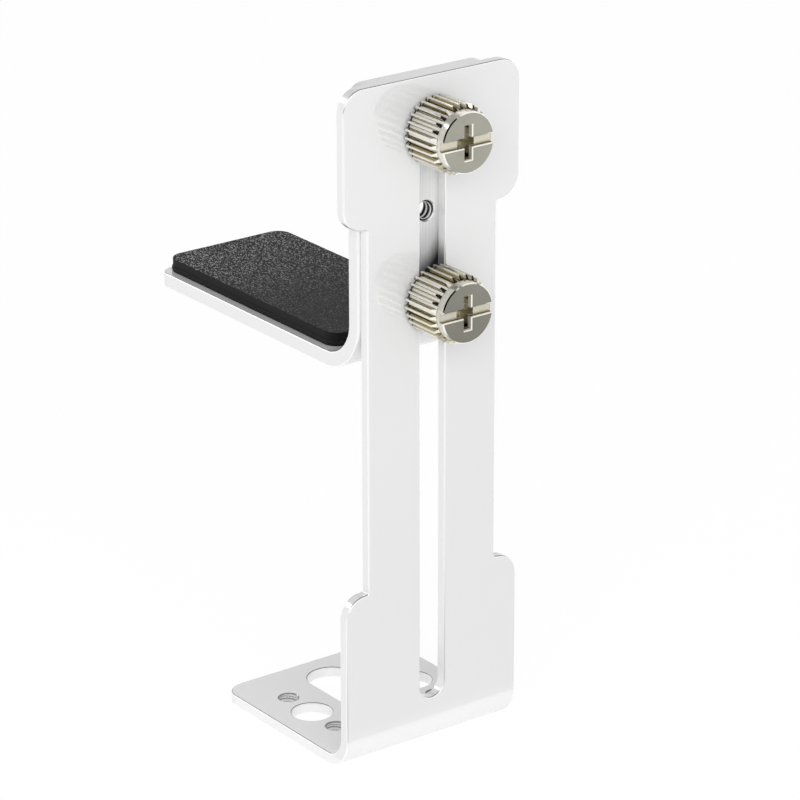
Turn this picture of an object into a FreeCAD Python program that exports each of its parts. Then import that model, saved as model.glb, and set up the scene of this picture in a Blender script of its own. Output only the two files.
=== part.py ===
import FreeCAD, Part
import math
import os

from FreeCAD import Vector

# Graphics card support bracket, in millimetres.
# X runs across the upright, Y runs back from its front face, Z runs up.
# The origin is the middle of the whole part's outline, on the surface that the foot stands on.

# Stand bracket, one folded sheet
stand_sheet = 1.5
stand_height = 90.0
stand_width = 26.8
stand_corner_radius = 3.0
neck_width = 19.8
neck_bottom = 24.0
neck_top = 72.1
neck_root_radius = 0.4
stand_fold_inner_radius = 3.0
foot_depth = 28.0
foot_corner_radius = 2.8

# Slot in the upright
slot_width = 3.8
slot_bottom = 7.1
arm_raise = 1.0

# Holes in the foot plate
foot_hole_radius = 2.65
foot_hole_spacing = 16.2
foot_hole_back = 15.2
foot_tapped_spacing = 10.6
foot_slot_width = 6.5
foot_slot_length = 16.0
foot_slot_edge = 2.7

# Arm bracket, one folded sheet
arm_sheet = 2.0
arm_width = 20.5
arm_top_drop = 0.2
arm_height = 37.5
arm_corner_radius = 2.0
arm_fold_inner_radius = 5.0
shelf_reach = 46.0

# Tapped holes, cut to the thread's inner radius
thread_inner_radius = 1.32
tapped_edge_chamfer = 0.12
arm_hole_drop = 6.7
arm_hole_pitch = 10.85
arm_hole_count = 3

# Pad and its foam tape on the shelf
pad_side_margin = 1.1
pad_end_margin = 0.45
pad_bend_lap = 0.25
pad_corner_radius = 2.0
pad_thickness = 0.98
tape_thickness = 0.8
tape_bulge = 0.15

# Thumbscrews
knurl_crest_radius = 4.45
knurl_depth = 0.6
knurl_teeth = 27
knurl_turn = 9.8
knurl_crest_share = 0.25
knurl_foot_share = 0.6
knurl_length = 5.83
knurl_seat_chamfer = 0.3
knurl_chamfer_drop = 0.57
knurl_chamfer_length = 0.485
neck_depth = 0.13
neck_length = 0.13
face_disc_drop = 0.57
face_disc_length = 1.19
face_disc_edge = 0.16
shank_clearance = 0.04
shank_length = 5.2
shank_point = 0.4
driver_slot_width = 1.2
driver_slot_depth = 0.65
cross_width = 1.08
cross_length = 4.4
cross_level_length = 2.5
cross_floor_width = 0.85
cross_floor_length = 2.6
cross_level_floor_length = 1.8
cross_depth = 2.2
recess_edge = 0.13

# Softened edges of the coated sheets
sheet_edge_radius = 0.2

# Places that follow from the sizes above
stand_fold_radius = stand_fold_inner_radius + stand_sheet
arm_fold_radius = arm_fold_inner_radius + arm_sheet
arm_front = stand_sheet
arm_back = arm_front + arm_sheet
arm_top = stand_height - arm_top_drop
shelf_bottom = arm_top - arm_height
shelf_top = shelf_bottom + arm_sheet
upper_screw_height = arm_top - arm_hole_drop
screw_heights = (upper_screw_height, upper_screw_height - (arm_hole_count - 1) * arm_hole_pitch)
slot_radius = slot_width / 2.0
slot_top = upper_screw_height + arm_raise + slot_radius
pad_width = arm_width - 2.0 * pad_side_margin
pad_front = arm_back + arm_fold_inner_radius - pad_bend_lap
pad_back = shelf_reach - pad_end_margin
pad_length = pad_back - pad_front
head_length = knurl_length + neck_length + face_disc_length
shank_radius = thread_inner_radius - shank_clearance
knurl_root_radius = knurl_crest_radius - knurl_depth
face_disc_radius = knurl_crest_radius - face_disc_drop
neck_radius = face_disc_radius - neck_depth
outline_middle = (shelf_reach - head_length) / 2.0


def corner_arc(before, corner, after, radius):
    """Return the start, middle and end of the arc that rounds one corner."""
    towards_before = (before - corner).normalize()
    towards_after = (after - corner).normalize()
    half_angle = towards_before.getAngle(towards_after) / 2.0
    setback = radius / math.tan(half_angle)
    bisector = (towards_before + towards_after).normalize()
    centre = corner + bisector * (radius / math.sin(half_angle))
    start = corner + towards_before * setback
    middle = centre - bisector * radius
    end = corner + towards_after * setback
    return start, middle, end


def rounded_face(corners):
    """Return a flat face whose outline runs through (point, radius) corners, each rounded by its radius."""
    count = len(corners)
    arcs = []
    for index, (corner, radius) in enumerate(corners):
        before = corners[index - 1][0]
        after = corners[(index + 1) % count][0]
        if radius > 0.0:
            arcs.append(corner_arc(before, corner, after, radius))
        else:
            arcs.append((corner, corner, corner))
    edges = []
    for index, (start, middle, end) in enumerate(arcs):
        if start.distanceToPoint(end) > 0.0:
            edges.append(Part.Arc(start, middle, end).toShape())
        next_start = arcs[(index + 1) % count][0]
        if end.distanceToPoint(next_start) > 1e-6:
            edges.append(Part.LineSegment(end, next_start).toShape())
    return Part.Face(Part.Wire(edges))


def folded_profile(front, top, bottom, reach, sheet, inner_radius):
    """Return the side view of an L-shaped folded sheet, in the plane X = 0."""
    outer_radius = inner_radius + sheet
    corners = [
        (Vector(0, front, top), 0.0),
        (Vector(0, front, bottom), outer_radius),
        (Vector(0, reach, bottom), 0.0),
        (Vector(0, reach, bottom + sheet), 0.0),
        (Vector(0, front + sheet, bottom + sheet), inner_radius),
        (Vector(0, front + sheet, top), 0.0),
    ]
    return rounded_face(corners)


def across(face, width):
    """Return a face of the side view extended to a full width about X = 0."""
    face.translate(Vector(-width / 2.0, 0, 0))
    return face.extrude(Vector(width, 0, 0))


def plan_plate(width, front, back, corner_radius, low, high):
    """Return an upright block over a plan with its two back corners rounded."""
    half = width / 2.0
    corners = [
        (Vector(-half, front, low), 0.0),
        (Vector(half, front, low), 0.0),
        (Vector(half, back, low), corner_radius),
        (Vector(-half, back, low), corner_radius),
    ]
    return rounded_face(corners).extrude(Vector(0, 0, high - low))


def long_hole(axis, centre, length_axis, length, width, depth):
    """Return the cutter of a round-ended hole that starts at centre and runs along axis."""
    side = axis.cross(length_axis)
    run = (length - width) / 2.0
    radius = width / 2.0
    first = centre - length_axis * run
    last = centre + length_axis * run
    outline = [
        Part.LineSegment(first + side * radius, last + side * radius).toShape(),
        Part.Arc(last + side * radius, last + length_axis * radius, last - side * radius).toShape(),
        Part.LineSegment(last - side * radius, first - side * radius).toShape(),
        Part.Arc(first - side * radius, first - length_axis * radius, first + side * radius).toShape(),
    ]
    return Part.Face(Part.Wire(outline)).extrude(axis * depth)


def sharp_edges(solid):
    """Return the edges where two faces meet at a clear angle."""
    found = []
    for edge in solid.Edges:
        faces = solid.ancestorsOfType(edge, Part.Face)
        if len(faces) != 2:
            continue
        middle = edge.valueAt((edge.FirstParameter + edge.LastParameter) / 2.0)
        normals = []
        for face in faces:
            u, v = face.Surface.parameter(middle)
            normals.append(face.normalAt(u, v))
        if normals[0].getAngle(normals[1]) > math.radians(30.0):
            found.append(edge)
    return found


def soften(solid, sheet):
    """Round every sharp edge of a sheet, by no more than the sheet allows."""
    radius = min(sheet_edge_radius, 0.4 * sheet)
    return solid.makeFillet(radius, sharp_edges(solid))


def tapped_hole(mouth, direction, sheet):
    """Return the cutter of a tapped hole through a sheet, with a small chamfer at both mouths."""
    wide = thread_inner_radius + tapped_edge_chamfer
    far = mouth + direction * sheet
    bore = Part.makeCylinder(thread_inner_radius, sheet, mouth, direction)
    near_cone = Part.makeCone(wide, thread_inner_radius, tapped_edge_chamfer, mouth, direction)
    far_cone = Part.makeCone(wide, thread_inner_radius, tapped_edge_chamfer, far, -direction)
    return bore.fuse([near_cone, far_cone])


def stand_outline():
    """Return the front view of the stand: wide head, narrow neck, wide lower part."""
    half = stand_width / 2.0
    neck = neck_width / 2.0
    step = half - neck
    shoulder = min(stand_corner_radius, 0.86 * step)
    root = min(neck_root_radius, 0.12 * step)
    right = [
        (half, 0.0, 0.0),
        (half, neck_bottom, shoulder),
        (neck, neck_bottom, root),
        (neck, neck_top, root),
        (half, neck_top, shoulder),
        (half, stand_height, stand_corner_radius),
    ]
    left = [(-x, z, radius) for x, z, radius in reversed(right)]
    return rounded_face([(Vector(x, 0, z), radius) for x, z, radius in right + left])


def foot_hole_places():
    """Return the centres of the two round holes on the underside of the foot."""
    half = foot_hole_spacing / 2.0
    return [Vector(side * half, foot_hole_back, 0) for side in (-1, 1)]


def make_stand_bracket():
    """Return the folded stand: slotted upright and drilled foot plate."""
    profile = folded_profile(0.0, stand_height, 0.0, foot_depth, stand_sheet, stand_fold_inner_radius)
    sheet = across(profile, stand_width)
    sheet = sheet.common(stand_outline().extrude(Vector(0, foot_depth, 0)))
    sheet = sheet.common(plan_plate(stand_width, 0.0, foot_depth, foot_corner_radius, 0.0, stand_height))

    slot_middle = Vector(0, 0, (slot_top + slot_bottom) / 2.0)
    cutters = [long_hole(Vector(0, 1, 0), slot_middle, Vector(0, 0, 1), slot_top - slot_bottom,
                         slot_width, stand_sheet)]
    foot_slot_middle = Vector(0, foot_depth - foot_slot_edge - foot_slot_length / 2.0, 0)
    cutters.append(long_hole(Vector(0, 0, 1), foot_slot_middle, Vector(0, 1, 0), foot_slot_length,
                             foot_slot_width, stand_sheet))
    for place in foot_hole_places():
        cutters.append(Part.makeCylinder(foot_hole_radius, stand_sheet, place))
    sheet = soften(sheet.cut(cutters), stand_sheet)

    tapped = []
    for place in foot_hole_places():
        for side in (-1, 1):
            mouth = place + Vector(0, side * foot_tapped_spacing / 2.0, 0)
            tapped.append(tapped_hole(mouth, Vector(0, 0, 1), stand_sheet))
    return sheet.cut(tapped)


def make_arm_bracket():
    """Return the folded arm: upright with tapped holes, and the shelf."""
    profile = folded_profile(arm_front, arm_top, shelf_bottom, shelf_reach, arm_sheet, arm_fold_inner_radius)
    sheet = across(profile, arm_width)
    half = arm_width / 2.0
    front_view = rounded_face([
        (Vector(-half, 0, shelf_bottom), 0.0),
        (Vector(half, 0, shelf_bottom), 0.0),
        (Vector(half, 0, arm_top), arm_corner_radius),
        (Vector(-half, 0, arm_top), arm_corner_radius),
    ])
    sheet = sheet.common(front_view.extrude(Vector(0, shelf_reach, 0)))
    sheet = sheet.common(plan_plate(arm_width, 0.0, shelf_reach, arm_corner_radius, shelf_bottom, arm_top))
    sheet = soften(sheet, arm_sheet)

    tapped = []
    for index in range(arm_hole_count):
        mouth = Vector(0, arm_front, upper_screw_height - index * arm_hole_pitch)
        tapped.append(tapped_hole(mouth, Vector(0, 1, 0), arm_sheet))
    return sheet.cut(tapped)


def rounded_slab(width, length, back, corner_radius, low, thickness):
    """Return a flat slab with four rounded corners in plan."""
    half = width / 2.0
    corners = [
        (Vector(-half, back - length, low), corner_radius),
        (Vector(half, back - length, low), corner_radius),
        (Vector(half, back, low), corner_radius),
        (Vector(-half, back, low), corner_radius),
    ]
    return rounded_face(corners).extrude(Vector(0, 0, thickness))


def make_tape():
    """Return the foam tape under the pad, which swells a little past it."""
    width = pad_width + 2.0 * tape_bulge
    length = pad_length + 2.0 * tape_bulge
    slab = rounded_slab(width, length, pad_back + tape_bulge, pad_corner_radius + tape_bulge,
                        shelf_top, tape_thickness)
    rim = min(tape_bulge, 0.3 * tape_thickness)
    return slab.makeFillet(rim, sharp_edges(slab))


def make_pad():
    """Return the pad sheet on top of the tape."""
    return rounded_slab(pad_width, pad_length, pad_back, pad_corner_radius,
                        shelf_top + tape_thickness, pad_thickness)


def knurl_section():
    """Return the toothed section of the head: narrow crests between flat-bottomed grooves."""
    pitch = 2.0 * math.pi / knurl_teeth
    half_crest = pitch * knurl_crest_share / 2.0
    half_foot = pitch * knurl_foot_share / 2.0
    points = []
    for tooth in range(knurl_teeth):
        middle = math.radians(knurl_turn) + tooth * pitch
        for angle, radius in ((middle - half_foot, knurl_root_radius),
                              (middle - half_crest, knurl_crest_radius),
                              (middle + half_crest, knurl_crest_radius),
                              (middle + half_foot, knurl_root_radius)):
            points.append(Vector(radius * math.cos(angle), 0, radius * math.sin(angle)))
    return Part.Face(Part.makePolygon(points + points[:1]))


def turned(profile):
    """Return the solid turned about the Y axis from (radius, distance in front of the seat) points."""
    points = [Vector(radius, -ahead, 0) for radius, ahead in profile]
    face = Part.Face(Part.makePolygon(points + points[:1]))
    return face.revolve(Vector(0, 0, 0), Vector(0, 1, 0), 360)


def knurled_head():
    """Return the knurled barrel, its teeth cut back by a chamfer at both ends."""
    barrel = knurl_section().extrude(Vector(0, -knurl_length, 0))
    outside = knurl_crest_radius + knurl_depth
    seat_rise = outside - knurl_crest_radius + knurl_seat_chamfer
    face_radius = knurl_crest_radius - knurl_chamfer_drop
    face_rise = knurl_chamfer_length * (outside - face_radius) / knurl_chamfer_drop
    envelope = turned([
        (0.0, 0.0),
        (knurl_crest_radius - knurl_seat_chamfer, 0.0),
        (outside, seat_rise),
        (outside, knurl_length - face_rise),
        (face_radius, knurl_length),
        (0.0, knurl_length),
    ])
    return barrel.common(envelope)


def face_disc():
    """Return the plain disc in front of the barrel, on its neck, with a chamfered edge."""
    return turned([
        (0.0, knurl_length - neck_length),
        (neck_radius, knurl_length - neck_length),
        (neck_radius, knurl_length + neck_length),
        (face_disc_radius, knurl_length + neck_length),
        (face_disc_radius, head_length - face_disc_edge),
        (face_disc_radius - face_disc_edge, head_length),
        (0.0, head_length),
    ])


def rectangle(width, height, ahead):
    """Return a rectangular wire facing forward, at a distance in front of the seat."""
    x = width / 2.0
    z = height / 2.0
    return Part.makePolygon([Vector(-x, -ahead, -z), Vector(x, -ahead, -z), Vector(x, -ahead, z),
                             Vector(-x, -ahead, z), Vector(-x, -ahead, -z)])


def frustum(wide, narrow):
    """Return the solid between two rectangles, each given as width, height and distance from the seat."""
    return Part.makeLoft([rectangle(*wide), rectangle(*narrow)], True, True)


def driver_recess():
    """Return the cutters of the screwdriver slot and of the tapered cross in its middle, with flared mouths."""
    span = 3.0 * face_disc_radius
    flare = 2.0 * recess_edge
    lip = head_length - recess_edge
    floor = head_length - driver_slot_depth
    bottom = head_length - cross_depth
    return [
        frustum((span, driver_slot_width + flare, head_length), (span, driver_slot_width, lip)),
        frustum((span, driver_slot_width, lip), (span, driver_slot_width, floor)),
        frustum((cross_width + flare, cross_length + flare, head_length), (cross_width, cross_length, lip)),
        frustum((cross_width, cross_length, lip), (cross_floor_width, cross_floor_length, bottom)),
        frustum((cross_level_length, cross_width, floor), (cross_level_floor_length, cross_floor_width, bottom)),
    ]


def shank():
    """Return the screw's plain core, from the seat to its chamfered point."""
    point = min(shank_point, 0.5 * shank_radius)
    return turned([
        (0.0, 0.0),
        (shank_radius, 0.0),
        (shank_radius, point - shank_length),
        (shank_radius - point, -shank_length),
        (0.0, -shank_length),
    ])


def make_thumbscrew(height):
    """Return one thumbscrew with its head seated on the stand's front face."""
    screw = knurled_head().fuse([face_disc(), shank()]).removeSplitter()
    screw = screw.cut(driver_recess())
    screw.translate(Vector(0, 0, height))
    return screw


def write(name, shape):
    """Move a piece to the part's origin and write it as one STEP file."""
    solids = shape.Solids
    assert len(solids) == 1 and solids[0].isValid(), name
    piece = solids[0].copy()
    piece.translate(Vector(0, -outline_middle, 0))
    piece.exportStep(os.path.join("parts", name + ".step"))
    print(name, "volume", round(piece.Volume, 2), "faces", len(piece.Faces))


def main():
    """Build every piece and write it."""
    os.makedirs("parts", exist_ok=True)
    write("stand_bracket", make_stand_bracket())
    write("arm_bracket", make_arm_bracket())
    write("pad", make_pad())
    write("pad_foam_tape", make_tape())
    write("upper_thumbscrew", make_thumbscrew(screw_heights[0]))
    write("lower_thumbscrew", make_thumbscrew(screw_heights[1]))


main()
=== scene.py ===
"""Graphics card support bracket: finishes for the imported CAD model, and its screw threads, pad and foam tape.

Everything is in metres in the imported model's frame: X across the upright, Y back along the shelf, Z up.
"""

import logging
import math
from dataclasses import dataclass
from enum import Enum

import bpy
import numpy as np
from mathutils import Matrix, Vector


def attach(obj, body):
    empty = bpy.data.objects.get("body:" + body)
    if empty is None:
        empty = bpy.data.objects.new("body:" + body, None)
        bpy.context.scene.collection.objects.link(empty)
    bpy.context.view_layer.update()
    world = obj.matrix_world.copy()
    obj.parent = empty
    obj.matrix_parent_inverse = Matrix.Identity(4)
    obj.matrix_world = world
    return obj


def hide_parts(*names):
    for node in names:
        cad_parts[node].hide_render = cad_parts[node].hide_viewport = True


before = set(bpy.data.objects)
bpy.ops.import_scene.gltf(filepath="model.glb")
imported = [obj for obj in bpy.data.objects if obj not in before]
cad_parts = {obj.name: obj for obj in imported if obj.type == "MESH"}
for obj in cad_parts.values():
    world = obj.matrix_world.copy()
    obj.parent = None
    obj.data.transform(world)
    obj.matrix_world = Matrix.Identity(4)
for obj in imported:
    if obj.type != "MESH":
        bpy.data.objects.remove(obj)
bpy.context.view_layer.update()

LOG = logging.getLogger("support_bracket")
FULL_TURN = 2.0 * math.pi
QUARTER_TURN = math.pi / 2.0
MM = 0.001

# Places on the part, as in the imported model
FACE_Y = -0.019425
UPPER_SCREW_Z = 83.1 * MM
LOWER_SCREW_Z = 61.4 * MM
STAND_SHEET = 1.5 * MM
ARM_SHEET = 2.0 * MM
STAND_FOLD = (0.0, FACE_Y + 4.5 * MM, 4.5 * MM)
ARM_FOLD = (0.0, FACE_Y + 8.5 * MM, 59.3 * MM)
SPARE_HOLE = (0.0, FACE_Y + STAND_SHEET, 72.25 * MM)
FOOT_HOLE_X = {"left": -8.1 * MM, "right": 8.1 * MM}
FOOT_HOLE_Y = {"front": FACE_Y + 9.9 * MM, "back": FACE_Y + 20.5 * MM}
PART_MIDDLE = (0.0, 0.0, 0.045)

# A span is where a mask is 0 and where it is 1, or the two ends of a range of values
Span = tuple[float, float]
Colour = tuple[float, float, float]
Place = tuple[float, float, float]
Socket = bpy.types.NodeSocket
Sockets = bpy.types.NodeOutputs

# How far a surface faces one way, and parts of a noise's range
SIDEWAYS = (0.3, 0.1)
STRAIGHT_ON = (0.9, 0.98)
NOISE_MIDDLE = (0.3, 0.7)
NOISE_HALF = (0.25, 0.75)
NOISE_MOST = (0.2, 0.8)

# Edges that turn by more than this many degrees stay sharp
THREAD_SHARP = 40.0
PAD_SHARP = 50.0


class Body(Enum):
    """The bodies that pieces ride on."""

    STAND = "stand"
    ARM = "arm"
    UPPER_SCREW = "upper_screw"
    LOWER_SCREW = "lower_screw"


class Slot(Enum):
    """The record's material slots."""

    WHITE_COAT = "white_coat"
    PAD_RUBBER = "pad_rubber"
    FOAM_TAPE = "foam_tape"
    NICKEL = "nickel"


# Shader helpers


def opaque(colour: object) -> object:
    """Return a colour with an alpha of 1, or a socket as it is."""
    return (*colour, 1.0) if isinstance(colour, tuple) else colour


class Graph:
    """Adds nodes to one node tree and links them."""

    def __init__(self, tree: bpy.types.NodeTree) -> None:
        """Start on the tree of a material, world or group."""
        self.tree = tree

    def add(self, kind: str, inputs: dict | None = None, **settings: object) -> bpy.types.Node:
        """Add one node.

        Args:
            kind: The node's bl_idname.
            inputs: Socket name or number to a value, or to the output socket that feeds it.
            settings: Properties of the node.

        Returns:
            The new node.
        """
        node = self.tree.nodes.new(kind)
        for name, value in settings.items():
            setattr(node, name, value)
        for key, value in (inputs or {}).items():
            if isinstance(value, bpy.types.NodeSocket):
                self.tree.links.new(value, node.inputs[key])
            else:
                node.inputs[key].default_value = value
        return node

    def math(self, operation: str, *values: object, clamp: bool = False) -> Socket:
        """Return the output of a Math node over up to three values."""
        node = self.add("ShaderNodeMath", dict(enumerate(values)), operation=operation, use_clamp=clamp)
        return node.outputs[0]

    def product(self, first: object, *others: object) -> Socket:
        """Multiply values from left to right.

        Args:
            first: A value or socket.
            others: What it is multiplied by, in order.

        Returns:
            The product.
        """
        for other in others:
            first = self.math("MULTIPLY", first, other)
        return first

    def rest(self, value: object) -> Socket:
        """Return 1 less a value."""
        return self.math("SUBTRACT", 1.0, value)

    def ramp(self, value: Socket, low: float, high: float, to_low: float = 0.0, to_high: float = 1.0,
             smooth: bool = True) -> Socket:
        """Map a value from one range to another, held at both ends.

        Args:
            value: The value to map.
            low: Where the range starts.
            high: Where it ends.
            to_low: The result at and below low.
            to_high: The result at and above high.
            smooth: Ease in and out between them.

        Returns:
            The mapped value.
        """
        node = self.add("ShaderNodeMapRange", {
            "Value": value, "From Min": low, "From Max": high, "To Min": to_low, "To Max": to_high,
        }, interpolation_type="SMOOTHSTEP" if smooth else "LINEAR")
        return node.outputs["Result"]

    def step(self, value: Socket, edge: float, zero: float, one: float) -> Socket:
        """Return a mask that is 0 at edge + zero and 1 at edge + one, with zero and one in millimetres."""
        return self.ramp(value, edge + zero * MM, edge + one * MM)

    def between(self, value: Socket, start: Span, end: Span) -> Socket:
        """Return a mask that rises over one span and falls over another."""
        return self.product(self.ramp(value, *start), self.ramp(value, *end))

    def blend(self, factor: object, first: object, second: object, mode: str = "MIX") -> Socket:
        """Return a colour mixed from two by a factor."""
        inputs = {0: factor, 6: opaque(first), 7: opaque(second)}
        return self.add("ShaderNodeMix", inputs, data_type="RGBA", blend_type=mode).outputs[2]

    def choose(self, factor: Socket, first: object, second: object) -> Socket:
        """Return a number mixed from two by a factor."""
        return self.add("ShaderNodeMix", {0: factor, 2: first, 3: second}, data_type="FLOAT").outputs[0]

    def grey(self, value: Socket) -> Socket:
        """Return a grey as light as a value."""
        return self.add("ShaderNodeCombineColor", {0: value, 1: value, 2: value}).outputs[0]

    def apart(self, vector: Socket) -> Sockets:
        """Return a vector's three parts."""
        return self.add("ShaderNodeSeparateXYZ", {0: vector}).outputs

    def facing(self) -> Sockets:
        """Return the three parts of the surface's normal."""
        return self.apart(self.add("ShaderNodeNewGeometry").outputs["Normal"])

    def vector(self, operation: str, first: object, second: object = (0.0, 0.0, 0.0)) -> Sockets:
        """Return the outputs of a Vector Math node."""
        return self.add("ShaderNodeVectorMath", {0: first, 1: second}, operation=operation).outputs

    def object_place(self, centre: Place = (0.0, 0.0, 0.0), scale: Place = (1.0, 1.0, 1.0)) -> Socket:
        """Return Object coordinates measured from a centre, each axis stretched by a scale."""
        place = self.add("ShaderNodeTexCoord").outputs["Object"]
        return self.vector("MULTIPLY", self.vector("SUBTRACT", place, centre)[0], scale)[0]

    def use_group(self, group: bpy.types.NodeTree, place: Socket, scale: float | None = None) -> Sockets:
        """Place a shared group.

        Args:
            group: The group's tree.
            place: What feeds its Place.
            scale: Its Scale, where it has one.

        Returns:
            The group's outputs.
        """
        inputs = {"Place": place} if scale is None else {"Place": place, "Scale": scale}
        return self.add("ShaderNodeGroup", inputs, node_tree=group).outputs

    def bump(self, height: Socket, distance: float, strength: float = 1.0, **more: Socket) -> Socket:
        """Return a normal bent by a height, and by the Normal that it starts from where that is given."""
        inputs = {"Strength": strength, "Distance": distance, "Height": height, **more}
        return self.add("ShaderNodeBump", inputs).outputs[0]

    def finish(self, out: bpy.types.Node, **inputs: object) -> None:
        """End a material with a Principled shader, whose sockets are named with _ for each space."""
        named = {title.replace("_", " "): value for title, value in inputs.items()}
        self.tree.links.new(self.add("ShaderNodeBsdfPrincipled", named).outputs[0], out.inputs["Surface"])


def new_group(name: str, inputs: dict[str, str], outputs: tuple[str, ...]) -> tuple[Graph, Sockets, object]:
    """Make a shader node group with named sockets.

    Args:
        name: The group's name.
        inputs: Socket name to socket type, such as NodeSocketFloat.
        outputs: Names of the numbers that come out.

    Returns:
        The group's graph, its input node's outputs and its output node.
    """
    tree = bpy.data.node_groups.new(name, "ShaderNodeTree")
    for title, kind in inputs.items():
        tree.interface.new_socket(name=title, in_out="INPUT", socket_type=kind)
    for title in outputs:
        tree.interface.new_socket(name=title, in_out="OUTPUT", socket_type="NodeSocketFloat")
    graph = Graph(tree)
    return graph, graph.add("NodeGroupInput").outputs, graph.add("NodeGroupOutput")


class SharedEffects:
    """The shader groups that several finishes share: softened edges, grain and turned rings."""

    def __init__(self) -> None:
        """Build the groups."""
        self.sheet_rim = self._sheet_rim()
        self.grain = self._grain()
        self.turned_rings = self._turned_rings()

    @staticmethod
    def _give(graph: Graph, out: bpy.types.Node, results: dict[str, Socket]) -> bpy.types.NodeTree:
        """Link a group's results to its output node.

        Args:
            graph: The group's graph.
            out: Its output node.
            results: Output name to the socket that feeds it.

        Returns:
            The group's tree.
        """
        for title, value in results.items():
            graph.tree.links.new(value, out.inputs[title])
        return graph.tree

    def _sheet_rim(self) -> bpy.types.NodeTree:
        """Make masks for a folded sheet's edges, from the angle between the surface and the sheet's normal.

        Place is measured from the fold's axis. The sheet's normal there is the direction of (min(y, 0),
        min(z, 0)): straight on the two flats and radial in the fold. Rim is 1 on the rounding of the edges,
        and Lean is 1 on the strip of it that faces nearly up. Crown is 1 where the sheet faces forward and
        up at once. Side is 1 on the cut sides, and Cut is 1 on those that face up.

        Returns:
            The group's tree.
        """
        graph, given, out = new_group(
            "sheet_rim", {"Place": "NodeSocketVector"}, ("Rim", "Lean", "Crown", "Side", "Cut"))
        side_end, rounding_start, flat_start = (0.12, 0.04), (0.04, 0.12), (0.995, 0.96)
        lean_start, lean_end = (0.62, 0.72), (0.998, 0.985)
        crown_start, up_start = (-0.1, -0.25), (0.9, 0.98)
        parts = graph.apart(given["Place"])
        inward = graph.add("ShaderNodeCombineXYZ", {
            0: 0.0, 1: graph.math("MINIMUM", parts[1], 0.0), 2: graph.math("MINIMUM", parts[2], 0.0)})
        flat = graph.vector("NORMALIZE", inward.outputs[0])[0]
        normal = graph.add("ShaderNodeNewGeometry").outputs["Normal"]
        along = graph.math("ABSOLUTE", graph.vector("DOT_PRODUCT", flat, normal)["Value"])
        turned = graph.apart(normal)
        rim = graph.between(along, rounding_start, flat_start)
        side = graph.ramp(along, *side_end)
        return self._give(graph, out, {
            "Rim": rim,
            "Lean": graph.product(rim, graph.between(turned[2], lean_start, lean_end)),
            "Crown": graph.ramp(graph.product(turned[1], turned[2]), *crown_start),
            "Side": side,
            "Cut": graph.product(side, graph.ramp(turned[2], *up_start)),
        })

    def _grain(self) -> bpy.types.NodeTree:
        """Make two sizes of noise: a Fine speckle and a Broad drift, both about 0.5 in the middle.

        Returns:
            The group's tree.
        """
        graph, given, out = new_group(
            "grain", {"Place": "NodeSocketVector", "Scale": "NodeSocketFloat"}, ("Fine", "Broad"))
        broad_share = 0.12
        fine = graph.add("ShaderNodeTexNoise", {
            "Vector": given["Place"], "Scale": given["Scale"], "Detail": 3.0, "Roughness": 0.6})
        broad = graph.add("ShaderNodeTexNoise", {
            "Vector": given["Place"], "Scale": graph.product(given["Scale"], broad_share), "Detail": 2.0,
            "Roughness": 0.5})
        return self._give(graph, out, {"Fine": fine.outputs[0], "Broad": broad.outputs[0]})

    def _turned_rings(self) -> bpy.types.NodeTree:
        """Make fine rings round the Y axis of Place, as a lathe leaves them: noise read at (radius, y).

        Returns:
            The group's tree.
        """
        graph, given, out = new_group(
            "turned_rings", {"Place": "NodeSocketVector", "Scale": "NodeSocketFloat"}, ("Rings", "Radius"))
        parts = graph.apart(given["Place"])
        across = graph.add("ShaderNodeCombineXYZ", {0: parts[0], 1: parts[2]}).outputs[0]
        radius = graph.vector("LENGTH", across)["Value"]
        steps = graph.add("ShaderNodeCombineXYZ", {0: radius, 1: parts[1]}).outputs[0]
        rings = graph.add("ShaderNodeTexNoise", {
            "Vector": steps, "Scale": given["Scale"], "Detail": 2.0, "Roughness": 0.7})
        return self._give(graph, out, {"Rings": rings.outputs[0], "Radius": radius})


def material_with_graph(name: str) -> tuple[bpy.types.Material, Graph, bpy.types.Node]:
    """Make an empty node material.

    Args:
        name: The material's name.

    Returns:
        The material, its graph and its output node.
    """
    material = bpy.data.materials.new(name)
    material.use_nodes = True
    material.node_tree.nodes.clear()
    graph = Graph(material.node_tree)
    return material, graph, graph.add("ShaderNodeOutputMaterial")


# Finishes


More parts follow.
